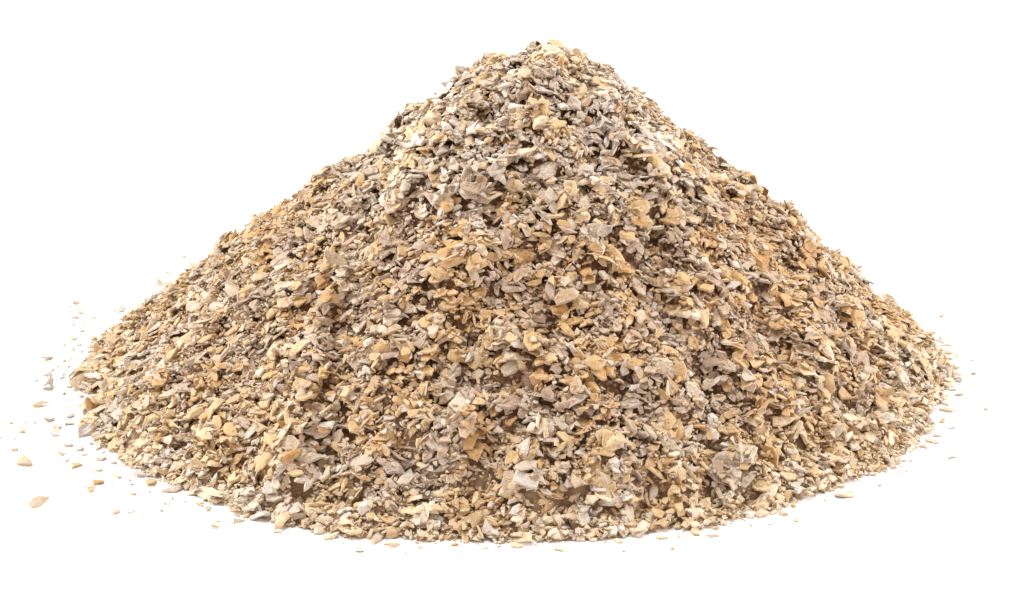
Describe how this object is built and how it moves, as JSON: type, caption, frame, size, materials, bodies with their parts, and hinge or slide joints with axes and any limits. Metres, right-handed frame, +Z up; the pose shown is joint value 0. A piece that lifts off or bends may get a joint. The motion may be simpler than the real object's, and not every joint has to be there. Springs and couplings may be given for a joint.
{
  "type": "heap of crushed oat flakes",
  "caption": "Free-standing conical heap of dry, coarsely crushed oat flakes with a blunt peak, a shoulder on one flank and a ragged foot, lying on a flat underside.",
  "frame": {"origin": "middle of the heap's outline, on the surface that it lies on", "axes": "+Z up through the heap, +X along its widest spread, -Y towards the side that the picture shows"},
  "size_m": [0.133, 0.1232, 0.0506],
  "materials": {
    "oat_flakes": "dry, matt, floury flakes in amber, cream and grey-white, each in its own tone"
  },
  "bodies": {
    "root": {"oat_heap": "oat_flakes"}
  },
  "joints": []
}
